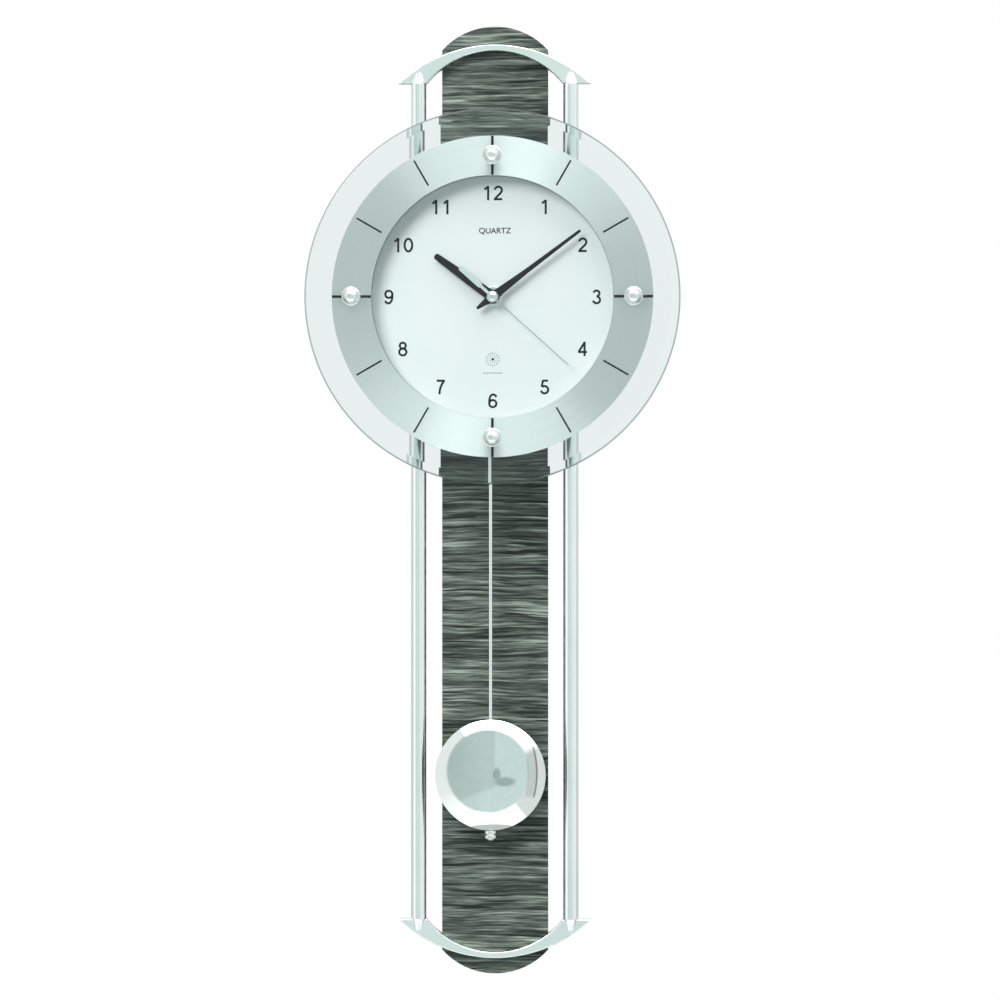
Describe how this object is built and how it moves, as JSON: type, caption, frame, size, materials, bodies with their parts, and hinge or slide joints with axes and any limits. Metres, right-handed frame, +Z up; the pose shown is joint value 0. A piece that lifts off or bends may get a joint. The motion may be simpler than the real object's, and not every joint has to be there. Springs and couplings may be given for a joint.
{
  "type": "pendulum wall clock",
  "caption": "Wall clock with a bevelled glass over a ring dial, held off a tall grey veneered board between two tubes and arched ends, with a chrome pendulum.",
  "frame": {"origin": "centre of the hanger's keyhole on the wall plane", "axes": "+X to the clock's right as seen from the front, +Y into the wall, +Z up, the dial faces -Y"},
  "size_m": [0.2644, 0.0849, 0.6798],
  "materials": {
    "board_core": "dyed fibreboard, matt",
    "grey_veneer": "grey stained oak veneer, satin lacquer, grain across",
    "hanger_steel": "zinc plated",
    "screw_steel": "zinc plated",
    "bumper_rubber": "matt",
    "yoke_aluminium": "satin anodised",
    "column_aluminium": "satin anodised tube",
    "post_aluminium": "turned",
    "carrier_plastic": "moulded, fine grain",
    "dial_white": "matt white lacquer",
    "ring_aluminium": "brushed round",
    "clear_glass": "clear, bevelled and polished",
    "stud_steel": "plain",
    "washer_plastic": "clear nylon",
    "cap_chrome": "polished",
    "movement_plastic": "moulded, fine grain",
    "bushing_brass": "turned",
    "nut_nickel": "nickel plated",
    "battery_sleeve": "printed sleeve",
    "contact_steel": "nickel plated spring strip",
    "circuit_green": "solder mask",
    "component_black": "moulded",
    "stator_steel": "stamped",
    "coil_copper": "enamelled wire",
    "ferrite_grey": "sintered",
    "second_hand_silver": "silver lacquer",
    "wheel_plastic": "moulded acetal",
    "rotor_magnet": "moulded pinion on a magnet",
    "hand_black": "satin black lacquer",
    "button_plastic": "moulded",
    "lever_plastic": "moulded",
    "magnet_nickel": "nickel plated",
    "rod_steel": "drawn and polished",
    "bob_chrome": "polished",
    "bob_back_steel": "plain",
    "nut_chrome": "polished"
  },
  "bodies": {
    "clock_case": {"back_board": "board_core", "veneer_facing": "grey_veneer", "hanger_plate": "hanger_steel", "hanger_screws": "screw_steel", "wall_bumpers": "bumper_rubber", "top_yoke": "yoke_aluminium", "bottom_yoke": "yoke_aluminium", "yoke_screws": "screw_steel", "left_column": "column_aluminium", "right_column": "column_aluminium", "carrier_posts": "post_aluminium", "post_rear_screws": "screw_steel", "post_front_screws": "screw_steel", "dial_carrier": "carrier_plastic", "dial_plate": "dial_white", "dial_ring": "ring_aluminium", "glass_pane": "clear_glass", "glass_spacers": "post_aluminium", "glass_studs": "stud_steel", "glass_washers": "washer_plastic", "glass_caps": "cap_chrome", "movement_rear_case": "movement_plastic", "movement_front_case": "movement_plastic", "case_screws": "screw_steel", "centre_bushing": "bushing_brass", "dial_nut": "nut_nickel", "battery": "battery_sleeve", "positive_contact": "contact_steel", "negative_contact": "contact_steel", "circuit_board": "circuit_green", "circuit_components": "component_black", "second_motor_stator": "stator_steel", "second_motor_coil": "coil_copper", "minute_motor_stator": "stator_steel", "minute_motor_coil": "coil_copper", "antenna_rod": "ferrite_grey", "antenna_coil": "coil_copper", "pendulum_drive_coil": "coil_copper", "pivot_pin": "stud_steel"},
    "second_hand_group": {"second_hand": "second_hand_silver", "second_hand_cap": "cap_chrome", "second_wheel": "wheel_plastic"},
    "second_relay": {"second_relay_wheel": "wheel_plastic"},
    "second_motor_rotor": {"second_rotor": "rotor_magnet"},
    "minute_hand_group": {"minute_hand": "hand_black", "minute_wheel": "wheel_plastic"},
    "minute_relay": {"minute_relay_wheel": "wheel_plastic"},
    "minute_motor_rotor": {"minute_rotor": "rotor_magnet"},
    "hour_hand_group": {"hour_hand": "hand_black", "hour_wheel": "wheel_plastic"},
    "motion_work": {"motion_wheel": "wheel_plastic"},
    "set_key": {"set_button": "button_plastic"},
    "reset_key": {"reset_button": "button_plastic"},
    "pendulum": {"pendulum_lever": "lever_plastic", "drive_magnet": "magnet_nickel", "pendulum_rod": "rod_steel"},
    "bob": {"bob_dome": "bob_chrome", "bob_back": "bob_back_steel", "bob_guide": "lever_plastic"},
    "nut": {"rating_nut": "nut_chrome"}
  },
  "joints": [
    {"name": "second_hand_turn", "type": "hinge", "parent": "clock_case", "child": "second_hand_group", "pos_m": [0, 0, -0.1468], "axis": [0, 1, 0], "continuous": true},
    {"name": "second_relay_turn", "type": "hinge", "parent": "clock_case", "child": "second_relay", "pos_m": [0.01015, 0, -0.14311], "axis": [0, 1, 0], "continuous": true},
    {"name": "second_rotor_turn", "type": "hinge", "parent": "clock_case", "child": "second_motor_rotor", "pos_m": [0.01435, 0, -0.13583], "axis": [0, 1, 0], "continuous": true},
    {"name": "minute_hand_turn", "type": "hinge", "parent": "clock_case", "child": "minute_hand_group", "pos_m": [0, 0, -0.1468], "axis": [0, 1, 0], "continuous": true},
    {"name": "minute_relay_turn", "type": "hinge", "parent": "clock_case", "child": "minute_relay", "pos_m": [-0.01015, 0, -0.14311], "axis": [0, 1, 0], "continuous": true},
    {"name": "minute_rotor_turn", "type": "hinge", "parent": "clock_case", "child": "minute_motor_rotor", "pos_m": [-0.01525, 0, -0.13427], "axis": [0, 1, 0], "continuous": true},
    {"name": "motion_work_turn", "type": "hinge", "parent": "clock_case", "child": "motion_work", "pos_m": [0, 0, -0.1588], "axis": [0, 1, 0], "continuous": true},
    {"name": "hour_hand_turn", "type": "hinge", "parent": "clock_case", "child": "hour_hand_group", "pos_m": [0, 0, -0.1468], "axis": [0, 1, 0], "continuous": true},
    {"name": "set_button_press", "type": "slide", "parent": "clock_case", "child": "set_key", "axis": [0, -1, 0], "range_m": [0, 0.0008], "stiffness_N_per_m": 500, "springref_m": -0.0004},
    {"name": "reset_button_press", "type": "slide", "parent": "clock_case", "child": "reset_key", "axis": [0, -1, 0], "range_m": [0, 0.0008], "stiffness_N_per_m": 500, "springref_m": -0.0004},
    {"name": "pendulum_swing", "type": "hinge", "parent": "clock_case", "child": "pendulum", "pos_m": [-0.0027, 0, -0.0948], "axis": [0, 1, 0], "range_deg": [-4, 4]},
    {"name": "bob_slide", "type": "slide", "parent": "pendulum", "child": "bob", "axis": [0, 0, 1], "range_m": [-0.0025, 0.0025]},
    {"name": "rating_nut_turn", "type": "hinge", "parent": "bob", "child": "nut", "pos_m": [-0.0027, -0.0285, 0], "axis": [0, 0, 1], "range_deg": [-1810, 1810]}
  ],
  "couplings": [
    {"joint": "second_relay_turn", "follows": "second_hand_turn", "ratio": -5},
    {"joint": "second_rotor_turn", "follows": "second_hand_turn", "ratio": 30},
    {"joint": "minute_relay_turn", "follows": "minute_hand_turn", "ratio": -8},
    {"joint": "minute_rotor_turn", "follows": "minute_hand_turn", "ratio": 60},
    {"joint": "motion_work_turn", "follows": "minute_hand_turn", "ratio": -0.33333},
    {"joint": "hour_hand_turn", "follows": "minute_hand_turn", "ratio": 0.083333},
    {"joint": "rating_nut_turn", "follows": "bob_slide", "rad_per_m": 12566}
  ]
}
